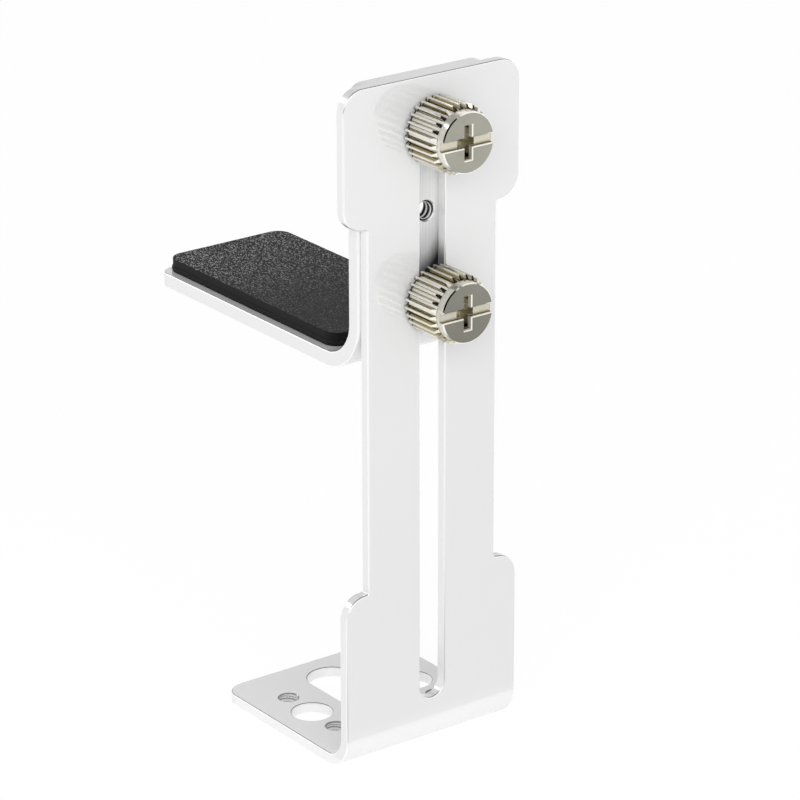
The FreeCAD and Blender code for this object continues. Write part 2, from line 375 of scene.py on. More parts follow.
@dataclass(frozen=True)
class PaintedSlotShade:
    """Painted shade and a painted dark reflection of the lower thumbscrew on the white coat in the slot, next
    to that screw.
    """

    half_width: Span = (2.1 * MM, 1.95 * MM)
    wall_facing: Span = (0.6, 0.9)
    wall_top: Span = (68.8 * MM, 65.6 * MM)
    wall_bottom: Span = (54.0 * MM, 58.0 * MM)
    wall_depth: float = 0.75
    front_facing: Span = (-0.9, -0.98)
    slant: float = 1.3
    dark_band: Span = (63.7 * MM, 67.0 * MM)
    dark_values: Span = (0.02, 0.66)
    pale_band: Span = (67.0 * MM, 72.0 * MM)
    pale_gain: float = 0.34
    streak_scale: float = 4200.0
    streak_values: Span = (0.84, 1.08)

    def stand_unshaded(self, graph: Graph) -> Socket:
        """Return how unshaded the stand's coat is: less than 1 where shade is painted on the slot's two walls,
        within a band of Z.

        Args:
            graph: The material's graph.

        Returns:
            A value from 0 to 1.
        """
        parts = graph.apart(graph.object_place())
        near = graph.ramp(graph.math("ABSOLUTE", parts[0]), *self.half_width)
        wall = graph.product(near, graph.ramp(graph.math("ABSOLUTE", graph.facing()[0]), *self.wall_facing))
        # Painted shade on the slot's two walls, in a band of Z around the lower thumbscrew
        shade_band = graph.between(parts[2], self.wall_top, self.wall_bottom)
        return graph.rest(graph.product(wall, shade_band, self.wall_depth))

    def arm_unshaded(self, graph: Graph) -> Socket:
        """Return how unshaded the arm's coat is: less than 1 where shade is painted on its front, where the
        slot leaves it open.

        It rises in two straight lines over Z less slant times X, with upright streaks from noise read at X.

        Args:
            graph: The material's graph.

        Returns:
            A value from 0 to 1.
        """
        parts = graph.apart(graph.object_place())
        near = graph.ramp(graph.math("ABSOLUTE", parts[0]), *self.half_width)
        wall = graph.product(near, graph.ramp(graph.facing()[1], *self.front_facing))
        across = graph.add("ShaderNodeCombineXYZ", {0: parts[0]}).outputs[0]
        streak = graph.add("ShaderNodeTexNoise", {
            "Vector": across, "Scale": self.streak_scale, "Detail": 2.0})
        height = graph.math("SUBTRACT", parts[2], graph.product(parts[0], self.slant))
        # Painted shade and dark reflection of the lower thumbscrew: darkest beside its head, fading upwards
        lit_share = graph.math("ADD", graph.ramp(height, *self.dark_band, *self.dark_values, smooth=False),
                           graph.ramp(height, *self.pale_band, 0.0, self.pale_gain, smooth=False))
        lit_share = graph.product(lit_share, graph.ramp(streak.outputs[0], *NOISE_HALF, *self.streak_values))
        return graph.math("SUBTRACT", 1.0, graph.product(wall, graph.rest(lit_share)), clamp=True)


@dataclass(frozen=True)
class WhiteCoat:
    """Smooth glossy white powder coat over steel sheet, with painted highlights and painted shade where it
    rounds an edge, and painted light and shade on its cut sides.
    """

    name: str
    fold: Place
    on_arm: bool
    base: Colour = (0.88, 0.88, 0.88)
    # Painted highlight on the rounded edges, and a painted shade line on their strip that faces up
    rim: Colour = (1.0, 1.0, 1.0)
    lean: Colour = (0.24, 0.24, 0.24)
    # Painted light on the foot's cut sides, and painted shade on cut sides that face up
    foot_side_light: Colour = (0.97, 0.97, 0.97)
    cut: Colour = (0.74, 0.74, 0.74)
    foot_height: Span = (1.6 * MM, 1.45 * MM)
    drift_low: float = 0.99
    rim_shine: float = 0.8
    roughness: Span = (0.32, 0.38)
    ior: float = 1.45
    coat_ior: float = 2.3
    coat_roughness: float = 0.02
    peel_scale: float = 400.0
    peel_depth: float = 0.0006 * MM

    def build(self, shared: SharedEffects, patch: PaintedSlotShade) -> bpy.types.Material:
        """Make the finish.

        Args:
            shared: The shader groups.
            patch: Where shade is painted on the coat.

        Returns:
            The material.
        """
        material, graph, out = material_with_graph(self.name)
        grain = graph.use_group(shared.grain, graph.object_place(), self.peel_scale)
        # Painted shade in the slot darkens the coat's colour and takes away its gloss there
        unshaded = patch.arm_unshaded(graph) if self.on_arm else patch.stand_unshaded(graph)
        edge = graph.use_group(shared.sheet_rim, graph.object_place(self.fold))
        drift = graph.product(graph.ramp(grain["Broad"], *NOISE_MIDDLE, self.drift_low, 1.0), unshaded)
        colour = graph.blend(1.0, self.base, graph.grey(drift), "MULTIPLY")
        # Painted shade on cut sides that face up, and painted light on the foot's cut sides
        colour = graph.blend(edge["Cut"], colour, self.cut)
        height = graph.apart(graph.object_place())[2]
        foot_side_light = graph.product(edge["Side"], graph.ramp(height, *self.foot_height))
        colour = graph.blend(foot_side_light, colour, self.foot_side_light)
        # Painted highlight on the rounded edges, then a painted shade line on their strip that faces up
        colour = graph.blend(edge["Rim"], colour, self.rim)
        colour = graph.blend(edge["Lean"], colour, self.lean)
        roughness = graph.ramp(grain["Broad"], *NOISE_MOST, *self.roughness)
        coated = graph.product(unshaded, graph.rest(edge["Crown"]))
        graph.finish(out, Base_Color=colour, Roughness=roughness, IOR=self.ior, Coat_Weight=coated,
                     Metallic=graph.product(edge["Rim"], self.rim_shine, coated),
                     Coat_Roughness=self.coat_roughness, Coat_IOR=self.coat_ior,
                     Normal=graph.bump(grain["Broad"], self.peel_depth))
        return material


@dataclass(frozen=True)
class Nickel:
    """Bright nickel plate on a turned and knurled screw, with lathe rings, and light and shade painted into its
    colour, brown in the grooves.
    """

    name: str
    axis_height: float
    # Each tone below is light or shade painted on one part of the head; the dark ones are painted shade at
    # groove roots, seat, seam and recess ends
    bright: Colour = (0.98, 0.96, 0.90)
    disc: Colour = (0.84, 0.81, 0.72)
    flank: Colour = (0.70, 0.64, 0.46)
    foot: Colour = (0.16, 0.13, 0.05)
    groove: Colour = (0.95, 0.93, 0.86)
    seat: Colour = (0.05, 0.05, 0.04)
    seam: Colour = (0.14, 0.10, 0.03)
    slot_wall: Colour = (0.95, 0.90, 0.74)
    face: Colour = (0.70, 0.685, 0.59)
    recess: Colour = (0.88, 0.84, 0.66)
    recess_end: Colour = (0.02, 0.02, 0.015)
    roughness: Span = (0.07, 0.16)
    slot_dullness: float = 0.4
    ring_scale: float = 9000.0
    grain_scale: float = 3000.0
    tint_low: float = 0.94
    ring_share: float = 0.7
    relief: float = 0.003 * MM
    relief_strength: float = 0.3
    round_edge: float = 0.02 * MM
    knurl_round: float = 0.16 * MM
    root_radius: float = 3.85 * MM
    crest_radius: float = 4.45 * MM
    barrel_end: float = 5.83 * MM
    disc_start: float = 5.96 * MM
    slot_floor: float = 6.5 * MM
    head_length: float = 7.15 * MM
    seat_depth: Span = (0.3 * MM, 0.22 * MM)
    recess_reach: Span = (2.6 * MM, 2.5 * MM)
    recess_shade: Span = (1.45 * MM, 1.9 * MM)
    seam_facing: Span = (0.8, 0.95)
    bounce_length: Span = (0.8 * MM, 1.4 * MM)
    bounce_share: float = 0.85
    bounce_roughness: float = 0.4
    stripe: float = 0.3

    def _in_slot(self, graph: Graph, ahead: Socket, radius: Socket, lip: float) -> Socket:
        """Mask the screwdriver slot.

        Args:
            graph: The material's graph.
            ahead: Distance in front of the seat.
            radius: Distance from the screw's axis.
            lip: Where the mask is 0 next to the face, in millimetres from it.

        Returns:
            The mask.
        """
        inside = graph.step(radius, self.root_radius, -0.06, -0.1)
        depth = graph.product(graph.step(ahead, self.head_length, lip, -0.16),
                              graph.step(ahead, self.slot_floor, -0.06, -0.02))
        return graph.product(inside, depth)

    def _colour(self, graph: Graph, ahead: Socket, radius: Socket, forward: Socket, upward: Socket) -> Socket:
        """Return the plate's colour with light and shade painted in: crests bright, groove walls brown, disc,
        face and recess each their own.

        Args:
            graph: The material's graph.
            ahead: Distance in front of the seat.
            radius: Distance from the screw's axis.
            forward: How far the surface faces forward, from 0 to 1.
            upward: How far it faces up, from 0 to 1.

        Returns:
            The colour.
        """
        sideways = graph.ramp(forward, *SIDEWAYS)
        barrel = graph.product(sideways, graph.step(ahead, self.barrel_end, 0.02, -0.01))
        wall = graph.product(graph.step(radius, self.root_radius, 0.01, 0.06),
                             graph.step(radius, self.crest_radius, -0.03, -0.16))
        bottom = graph.product(barrel, graph.step(radius, self.root_radius, 0.08, 0.02))
        line = graph.product(graph.step(radius, self.root_radius, 0.004, 0.02),
                             graph.step(radius, self.root_radius, 0.17, 0.09))
        disc = graph.product(sideways, graph.step(ahead, self.disc_start, -0.02, 0.02))
        face = graph.product(graph.ramp(forward, *STRAIGHT_ON),
                             graph.step(ahead, self.head_length, -0.06, -0.03))
        slot = self._in_slot(graph, ahead, radius, -0.1)
        seam = graph.product(slot, graph.product(graph.ramp(upward, *self.seam_facing),
                                                 graph.step(ahead, self.slot_floor, 0.36, 0.28)))
        # Painted light and shade: bright crests, brown groove walls, a pale groove floor with a dark shade line
        # at its root, painted tones on disc,
        colour = graph.blend(graph.product(barrel, wall), self.bright, self.flank)
        # face and slot walls, and painted shade at the seat and the slot's seam
        for mask, shade in ((bottom, self.groove), (graph.product(barrel, line), self.foot),
                            (disc, self.disc), (face, self.face),
                            (graph.ramp(ahead, *self.seat_depth), self.seat),
                            (slot, self.slot_wall), (seam, self.seam)):
            colour = graph.blend(mask, colour, shade)
        # Painted shade darkening the far ends of the cross recess
        deep = graph.product(graph.step(ahead, self.slot_floor, -0.02, -0.08),
                             graph.ramp(radius, *self.recess_reach))
        hollow = graph.blend(graph.ramp(radius, *self.recess_shade), self.recess, self.recess_end)
        return graph.blend(deep, colour, hollow)

    def _spread_light(self, graph: Graph, colour: Socket, roughness: Socket,
                      radius: Socket) -> tuple[Socket, Socket]:
        """Paint the plate pale for light that goes on to other surfaces, with dark stripes on the knurl in
        mirror images, and make it softer in mirror images.

        Args:
            graph: The material's graph.
            colour: The plate's colour.
            roughness: Its roughness.
            radius: Distance from the screw's axis.

        Returns:
            The colour and the roughness.
        """
        rays = graph.add("ShaderNodeLightPath").outputs
        softer = graph.math("ADD", roughness, graph.product(rays["Is Glossy Ray"], self.bounce_roughness))
        bounced = graph.math("MAXIMUM", rays["Is Glossy Ray"], rays["Is Diffuse Ray"])
        from_afar = graph.product(bounced, graph.ramp(
            rays["Ray Length"], *self.bounce_length, 0.0, self.bounce_share))
        # Painted dark stripes on the knurl's walls, only in mirror images
        stripe = graph.ramp(radius, self.root_radius + 0.2 * MM, self.crest_radius - 0.05 * MM,
                            self.stripe, 0.0)
        pale = graph.rest(graph.product(rays["Is Glossy Ray"], stripe))
        return graph.blend(from_afar, colour, graph.grey(pale)), softer

    def build(self, shared: SharedEffects) -> bpy.types.Material:
        """Make the finish.

        Args:
            shared: The shader groups.

        Returns:
            The material.
        """
        material, graph, out = material_with_graph(self.name)
        place = graph.object_place((0.0, FACE_Y, self.axis_height))
        rings = graph.use_group(shared.turned_rings, place, self.ring_scale)
        grain = graph.use_group(shared.grain, place, self.grain_scale)
        ahead = graph.product(graph.apart(place)[1], -1.0)
        facing = graph.facing()
        forward = graph.product(facing[1], -1.0)
        colour = self._colour(graph, ahead, rings["Radius"], forward, facing[2])
        tint = graph.ramp(grain["Broad"], *NOISE_MIDDLE, self.tint_low, 1.0)
        colour = graph.blend(1.0, colour, graph.grey(tint), "MULTIPLY")
        roughness = graph.ramp(grain["Fine"], *NOISE_HALF, *self.roughness)
        colour, roughness = self._spread_light(graph, colour, roughness, rings["Radius"])
        slot = self._in_slot(graph, ahead, rings["Radius"], -0.12)
        height = graph.math("ADD", graph.product(rings["Rings"], self.ring_share),
                            graph.product(grain["Fine"], 1.0 - self.ring_share))
        knurled = graph.product(graph.ramp(forward, *SIDEWAYS),
                                graph.step(ahead, self.barrel_end, -0.35, -0.45))
        softness = graph.ramp(knurled, 0.0, 1.0, self.round_edge, self.knurl_round)
        rounded = graph.add("ShaderNodeBevel", {"Radius": softness}, samples=4).outputs[0]
        graph.finish(out, Base_Color=colour, Roughness=roughness,
                     Metallic=graph.rest(graph.product(slot, self.slot_dullness)),
                     Normal=graph.bump(height, self.relief, self.relief_strength, Normal=rounded))
        return material


@dataclass(frozen=True)
class HoleThreadFinish:
    """Coated crests of the thread in one tapped hole, and grooves painted near-black as shade."""

    name: str
    centre: Place
    upright: bool
    crest: Colour = (0.8, 0.8, 0.8)
    groove: Colour = (0.02, 0.02, 0.02)
    crest_radius: float = 1.02 * MM
    grain_scale: float = 4000.0
    roughness: Span = (0.18, 0.32)
    ior: float = 1.5

    def build(self, shared: SharedEffects) -> bpy.types.Material:
        """Make the finish.

        Args:
            shared: The shader groups.

        Returns:
            The material.
        """
        material, graph, out = material_with_graph(self.name)
        across = (1.0, 1.0, 0.0) if self.upright else (1.0, 0.0, 1.0)
        radius = graph.vector("LENGTH", graph.object_place(self.centre, across))["Value"]
        grain = graph.use_group(shared.grain, graph.object_place(), self.grain_scale)
        # The grooves are painted dark as shade
        colour = graph.blend(graph.step(radius, self.crest_radius, 0.03, 0.09), self.crest, self.groove)
        graph.finish(out, Base_Color=colour, IOR=self.ior,
                     Roughness=graph.ramp(grain["Fine"], *NOISE_MOST, *self.roughness))
        return material


@dataclass(frozen=True)
class GrainedRubber:
    """Matte black sheet: fine pebbled grain on its face, paler to the back and with shade painted darker
    towards the front, and plain smooth cut sides.
    """

    base: Colour = (0.008, 0.008, 0.008)
    worn: Colour = (0.50, 0.50, 0.50)
    side: Colour = (0.007, 0.007, 0.007)
    roughness: float = 0.62
    shine: float = 0.2
    grain_scale: float = 5000.0
    grain_depth: float = 0.06 * MM
    grain_strength: float = 0.9
    grain_stretch: Place = (1.0, 0.6, 1.0)
    pebble_share: float = 0.5
    face: Span = (0.8, 0.95)
    high_grain: Span = (0.30, 0.40)
    speckle_light_reach: Span = (-2.0 * MM, 15.0 * MM)
    speckle_light_low: float = 0.18

    def build(self, shared: SharedEffects) -> bpy.types.Material:
        """Make the finish.

        Args:
            shared: The shader groups.

        Returns:
            The material.
        """
        material, graph, out = material_with_graph("pad_rubber_finish")
        place = graph.object_place(scale=self.grain_stretch)
        grain = graph.use_group(shared.grain, place, self.grain_scale)
        pebbles = graph.add("ShaderNodeTexVoronoi", {"Vector": place, "Scale": self.grain_scale})
        height = graph.math("SUBTRACT", grain["Fine"],
                            graph.product(pebbles.outputs["Distance"], self.pebble_share))
        face = graph.ramp(graph.math("ABSOLUTE", graph.facing()[2]), *self.face)
        # Painted shade: the grain's pale speckle fades towards the front, next to the upright
        speckle_light = graph.ramp(graph.apart(place)[1], *self.speckle_light_reach, self.speckle_light_low, 1.0)
        high = graph.product(graph.ramp(height, *self.high_grain), speckle_light)
        colour = graph.blend(face, self.side, graph.blend(high, self.base, self.worn))
        graph.finish(out, Base_Color=colour, Roughness=self.roughness, Specular_IOR_Level=self.shine,
                     Normal=graph.bump(graph.product(height, face), self.grain_depth, self.grain_strength))
        return material


@dataclass(frozen=True)
class FoamTape:
    """Dense black foam with fine cells."""

    base: Colour = (0.005, 0.005, 0.005)
    cell: Colour = (0.02, 0.02, 0.021)
    cell_scale: float = 5200.0
    cell_depth: float = 0.03 * MM
    cell_strength: float = 0.6
    cell_noise: Span = (0.35, 0.7)
    roughness: float = 0.7
    shine: float = 0.2

    def build(self, shared: SharedEffects) -> bpy.types.Material:
        """Make the finish.

        Args:
            shared: The shader groups.

        Returns:
            The material.
        """
        material, graph, out = material_with_graph("foam_tape_finish")
        grain = graph.use_group(shared.grain, graph.object_place(), self.cell_scale)
        colour = graph.blend(graph.ramp(grain["Fine"], *self.cell_noise), self.base, self.cell)
        graph.finish(out, Base_Color=colour, Roughness=self.roughness, Specular_IOR_Level=self.shine,
                     Normal=graph.bump(grain["Fine"], self.cell_depth, self.cell_strength))
        return material


# Surfaces


def grid_quads(rows: int, columns: int, close_rows: bool = False) -> np.ndarray:
    """Return the quads of a grid whose last column joins its first.

    Args:
        rows: Rows of points.
        columns: Points in each row.
        close_rows: Join the last row to the first as well, as on a ring.

    Returns:
        Four point numbers for each quad, in order from row to row.
    """
    spans = rows if close_rows else rows - 1
    row, column = np.meshgrid(np.arange(spans), np.arange(columns), indexing="ij")
    beside = (column + 1) % columns
    after = (row + 1) % rows
    quads = np.stack([row * columns + column, row * columns + beside,
                      after * columns + beside, after * columns + column], axis=-1)
    return quads.reshape(-1, 4)


def new_piece(name: str, points: np.ndarray, quads: np.ndarray, others: list) -> bpy.types.Object:
    """Make an object from points and faces, turned outwards and linked to the scene.

    Args:
        name: The piece's name.
        points: The points, as an array of count x 3.
        quads: The four-sided faces, which tell which way is out.
        others: More faces, as lists of point numbers.

    Returns:
        The new object.
    """
    mesh = bpy.data.meshes.new(name)
    mesh.from_pydata(points.tolist(), [], quads.tolist() + others)
    mesh.update()
    if signed_volume(points, quads) < 0.0:
        mesh.flip_normals()
    piece = bpy.data.objects.new(name, mesh)
    bpy.context.scene.collection.objects.link(piece)
    return piece


def closed_surface(name: str, rows: np.ndarray) -> bpy.types.Object:
    """Make an object from rings of points, and close its first and last ring with a fan to the ring's middle.

    Args:
        name: The piece's name.
        rows: Points as an array of rings x points x 3.

    Returns:
        The new object, linked to the scene, with outward faces.
    """
    ring_count, columns, _ = rows.shape
    points = np.concatenate([rows.reshape(-1, 3), rows[0].mean(0)[None], rows[-1].mean(0)[None]])
    around = np.arange(columns)
    beside = (around + 1) % columns
    first = np.stack([beside, around, np.full(columns, len(points) - 2)], axis=-1)
    last_row = (ring_count - 1) * columns
    last = np.stack([last_row + around, last_row + beside, np.full(columns, len(points) - 1)], axis=-1)
    return new_piece(name, points, grid_quads(ring_count, columns), first.tolist() + last.tolist())


def ring_surface(name: str, rows: np.ndarray) -> bpy.types.Object:
    """Make a ring-shaped object from rings of points whose last ring joins the first."""
    ring_count, columns, _ = rows.shape
    return new_piece(name, rows.reshape(-1, 3), grid_quads(ring_count, columns, close_rows=True), [])


def signed_volume(points: np.ndarray, quads: np.ndarray) -> float:
    """Return the volume under the quads seen from their middle: positive if they face outwards."""
    a, b, c, d = (points[quads[:, k]] - points.mean(0) for k in range(4))
    return float((np.cross(a, b) * c).sum() + (np.cross(a, c) * d).sum()) / 6.0


def smooth_by_angle(piece: bpy.types.Object, degrees: float) -> None:
    """Shade a piece smooth, but keep edges that turn by more than an angle sharp."""
    piece.data.shade_smooth()
    piece.data.set_sharp_from_angle(angle=math.radians(degrees))


def dress(piece: bpy.types.Object, material: bpy.types.Material) -> None:
    """Give a piece one material in every slot.

    Args:
        piece: The piece.
        material: Its finish.
    """
    if not piece.data.materials:
        piece.data.materials.append(material)
    for slot in piece.material_slots:
        slot.material = material


def thread_wave(ahead: np.ndarray, angle: np.ndarray, pitch: float, top: float, slope: float) -> np.ndarray:
    """Return a thread's height, from 0 at its root to 1 at its crest.

    It is a triangular wave of the phase (distance along the axis / pitch - angle / full turn), cut flat at
    crest and root: top less slope times the phase's distance from 1/2, held between 0 and 1.

    Args:
        ahead: Distance along the axis.
        angle: Angle round it.
        pitch: Distance from one turn to the next.
        top: The wave's height before it is cut.
        slope: How fast it falls on both sides.

    Returns:
        The height at each distance and angle.
    """
    phase = (ahead / pitch - angle / FULL_TURN) % 1.0
    return np.clip(top - np.abs(phase - 0.5) * slope, 0.0, 1.0)


# Threads, pad and tape


@dataclass
class ScrewThread:
    """The rolled thread on one thumbscrew's shank: a 60 degree ridge wound round the core."""

    name: str
    body: Body
    axis_height: float
    core_radius: float = 1.285 * MM
    outer_radius: float = 1.74 * MM
    tip_inset: float = 0.35 * MM
    pitch: float = 0.794 * MM
    wave_top: float = 1.36
    wave_slope: float = 3.2
    fade_turns: float = 0.6
    start: float = 0.25 * MM
    length: float = 5.21 * MM
    around: int = 64
    along: int = 150

    def points(self) -> np.ndarray:
        """Work out the thread.

        The radius is the core plus the thread's wave, faded in behind the head and cut by the point's cone.

        Returns:
            An array of rings x points x 3.
        """
        angle = np.linspace(0.0, FULL_TURN, self.around, endpoint=False)[None, :]
        ahead = np.linspace(self.start, self.length, self.along)[:, None]
        wave = thread_wave(ahead, angle, self.pitch, self.wave_top, self.wave_slope)
        fade = np.clip((ahead - self.start) / (self.fade_turns * self.pitch), 0.0, 1.0)
        radius = self.core_radius + (self.outer_radius - self.core_radius) * wave * fade
        cone = self.core_radius - self.tip_inset + (self.length - ahead)
        radius = np.minimum(radius, cone)
        x = radius * np.cos(angle)
        y = np.broadcast_to(FACE_Y + ahead, radius.shape)
        z = radius * np.sin(angle) + self.axis_height
        return np.stack([x, y, z], axis=-1)

    def build(self, finish: bpy.types.Material) -> None:
        """Make the thread, riding with its screw.

        Args:
            finish: Its material.
        """
        piece = closed_surface(self.name, self.points())
        smooth_by_angle(piece, THREAD_SHARP)
        dress(piece, finish)
        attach(piece, self.body.value)
        LOG.info("%s: %d faces", piece.name, len(piece.data.polygons))


@dataclass
class HoleThread:
    """The thread inside one open tapped hole: a ridge wound round the wall, lying inside the CAD bore."""

    name: str
    body: Body
    centre: Place
    upright: bool
    length: float
    wall_radius: float = 1.325 * MM
    crest_radius: float = 1.02 * MM
    wall_gap: float = 0.006 * MM
    mouth: float = 0.13 * MM
    pitch: float = 0.794 * MM
    wave_top: float = 1.45
    wave_slope: float = 4.2
    around: int = 72
    along: int = 60
    wall_step: int = 6

    def points(self) -> np.ndarray:
        """Work out rings from the near mouth along the thread and back along the wall.

        The inner radius is the wall's less the thread's wave, from just inside one mouth to the other.

        Returns:
            An array of rings x points x 3.
        """
        angle = np.linspace(0.0, FULL_TURN, self.around, endpoint=False)[None, :]
        ahead = np.linspace(self.mouth, self.length - self.mouth, self.along)[:, None]
        wave = thread_wave(ahead, angle, self.pitch, self.wave_top, self.wave_slope)
        inner = self.wall_radius - self.wall_gap - (self.wall_radius - self.crest_radius) * wave
        outer = np.full_like(inner[::-self.wall_step], self.wall_radius)
        radius = np.concatenate([inner, outer])
        depth = np.broadcast_to(np.concatenate([ahead, ahead[::-self.wall_step]]), radius.shape)
        first, second = radius * np.cos(angle), radius * np.sin(angle)
        flat = [first, second, depth] if self.upright else [first, depth, second]
        return np.stack(flat, axis=-1) + np.array(self.centre)

    def build(self, finish: bpy.types.Material) -> None:
        """Make the thread, riding with its sheet.

        Args:
            finish: Its material.
        """
        piece = ring_surface(self.name, self.points())
        smooth_by_angle(piece, THREAD_SHARP)
        dress(piece, finish)
        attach(piece, self.body.value)
        LOG.info("%s: %d faces", piece.name, len(piece.data.polygons))


def rounded_rectangle(width: float, length: float, radius: float, per_corner: int,
                      per_side: int) -> np.ndarray:
    """Return points round a rectangle with rounded corners, centred on the origin.

    Four quarter circles about the corners' centres, joined by straight sides cut into equal steps.

    Args:
        width: Size along X.
        length: Size along Y.
        radius: Corner radius.
        per_corner: Steps in each quarter circle.
        per_side: Steps in each straight side.

    Returns:
        An array of points x 2, anticlockwise.
    """
    half = np.array([width / 2.0 - radius, length / 2.0 - radius])
    corners = np.array([[1, 1], [-1, 1], [-1, -1], [1, -1]]) * half
    turns = np.linspace(0.0, QUARTER_TURN, per_corner + 1)
    arcs = [corners[k] + radius * np.stack([np.cos(turns + k * QUARTER_TURN),
                                            np.sin(turns + k * QUARTER_TURN)], axis=-1) for k in range(4)]
    steps = np.linspace(0.0, 1.0, per_side + 1)[1:-1, None]
    parts = []
    for k in range(4):
        parts.append(arcs[k])
        parts.append(arcs[k][-1] + (arcs[(k + 1) % 4][0] - arcs[k][-1]) * steps)
    return np.concatenate(parts)


@dataclass
class PadStack:
    """The grained pad and the foam tape that holds it on the shelf."""

    width: float = 18.3 * MM
    length: float = 37.3 * MM
    corner: float = 2.0 * MM
    centre_y: float = 7.475 * MM
    shelf_top: float = 54.3 * MM
    tape_thickness: float = 0.8 * MM
    pad_thickness: float = 0.98 * MM
    bulge: float = 0.16 * MM
    tape_inset: float = 0.02 * MM
    tape_gap: float = 0.01 * MM
    waviness: float = 0.012 * MM
    edge_round: float = 0.05 * MM
    inner_shares: tuple[float, ...] = (0.98, 0.5, 0.05)

    def _rings(self, insets: np.ndarray, heights: np.ndarray, shares: np.ndarray,
               wobble: float) -> np.ndarray:
        """Return rings of the rounded rectangle, each moved inwards and shrunk towards the pad's middle line.

        The outline's waviness is the sum of three sines of the turn round it.

        Args:
            insets: How far each ring lies inside the pad's outline; negative is outside it.
            heights: The Z of each ring.
            shares: How far each ring's points go from the outline, 0, towards the middle line, 1.
            wobble: Size of a slow waviness of the outline.

        Returns:
            An array of rings x points x 3.
        """
        outline = rounded_rectangle(self.width, self.length, self.corner, per_corner=12, per_side=40)
        ahead = np.roll(outline, -1, axis=0) - np.roll(outline, 1, axis=0)
        outward = np.stack([ahead[:, 1], -ahead[:, 0]], axis=-1)
        outward /= np.linalg.norm(outward, axis=1, keepdims=True)
        count = len(outline)
        turn = np.arange(count) / count * 2.0 * math.pi
        wave = wobble * (np.sin(9.0 * turn + 0.7) + 0.6 * np.sin(17.0 * turn + 2.1)
                         + 0.4 * np.sin(41.0 * turn))
        flat = outline[None] - outward[None] * (insets[:, None, None] + wave[None, :, None])
        reach = (self.length - self.width) / 2.0
        middle = np.stack([np.zeros(count), np.clip(outline[:, 1], -reach, reach)], axis=-1)
        flat = flat + (middle[None] - flat) * shares[:, None, None]
        z = np.broadcast_to(heights[:, None, None], (len(heights), count, 1))
        rings = np.concatenate([flat, z], axis=-1)
        rings[..., 1] += self.centre_y
        return rings

    def build_tape(self, finish: bpy.types.Material) -> bpy.types.Object:
        """Make the tape: its side swells outwards in a half ellipse between shelf and pad.

        Args:
            finish: Its material.

        Returns:
            The tape.
        """
        turn = np.linspace(-QUARTER_TURN, QUARTER_TURN, 13)
        inner = np.array(self.inner_shares)
        middle = self.shelf_top + self.tape_thickness / 2.0
        side = middle + (self.tape_thickness / 2.0 - self.tape_gap) * np.sin(turn)
        swell = self.tape_inset - self.bulge * np.cos(turn)
        insets = np.pad(swell, len(inner), constant_values=self.tape_inset)
        heights = np.pad(side, len(inner), mode="edge")
        shares = np.concatenate([inner, np.zeros(len(turn)), inner[::-1]])
        piece = closed_surface("foam_tape_strip", self._rings(insets, heights, shares, self.waviness))
        smooth_by_angle(piece, PAD_SHARP)
        dress(piece, finish)
        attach(piece, Body.ARM.value)
        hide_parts("pad_foam_tape")
        return piece

    def build_pad(self, finish: bpy.types.Material) -> bpy.types.Object:
        """Make the pad: a cut sheet with crisp, barely rounded edges.

        Args:
            finish: Its material.

        Returns:
            The pad.
        """
        low = self.shelf_top + self.tape_thickness
        high = low + self.pad_thickness
        turn = np.linspace(0.0, QUARTER_TURN, 4)
        inner = np.array(self.inner_shares)
        insets = np.pad(self.edge_round * (1.0 - np.cos(turn)), (4, 4), mode="edge")
        rise = high - self.edge_round + self.edge_round * np.sin(turn)
        heights = np.concatenate([np.full(4, low), rise, np.full(4, high)])
        shares = np.concatenate([inner, np.zeros(len(turn) + 1), [0.01], inner[::-1]])
        piece = closed_surface("grained_pad", self._rings(insets, heights, shares, 0.0))
        smooth_by_angle(piece, PAD_SHARP)
        dress(piece, finish)
        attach(piece, Body.ARM.value)
        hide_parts("pad")
        return piece

    def build(self, pad_finish: bpy.types.Material, tape_finish: bpy.types.Material) -> None:
        """Make both layers."""
        for piece in (self.build_tape(tape_finish), self.build_pad(pad_finish)):
            LOG.info("%s: %d faces", piece.name, len(piece.data.polygons))


# Studio


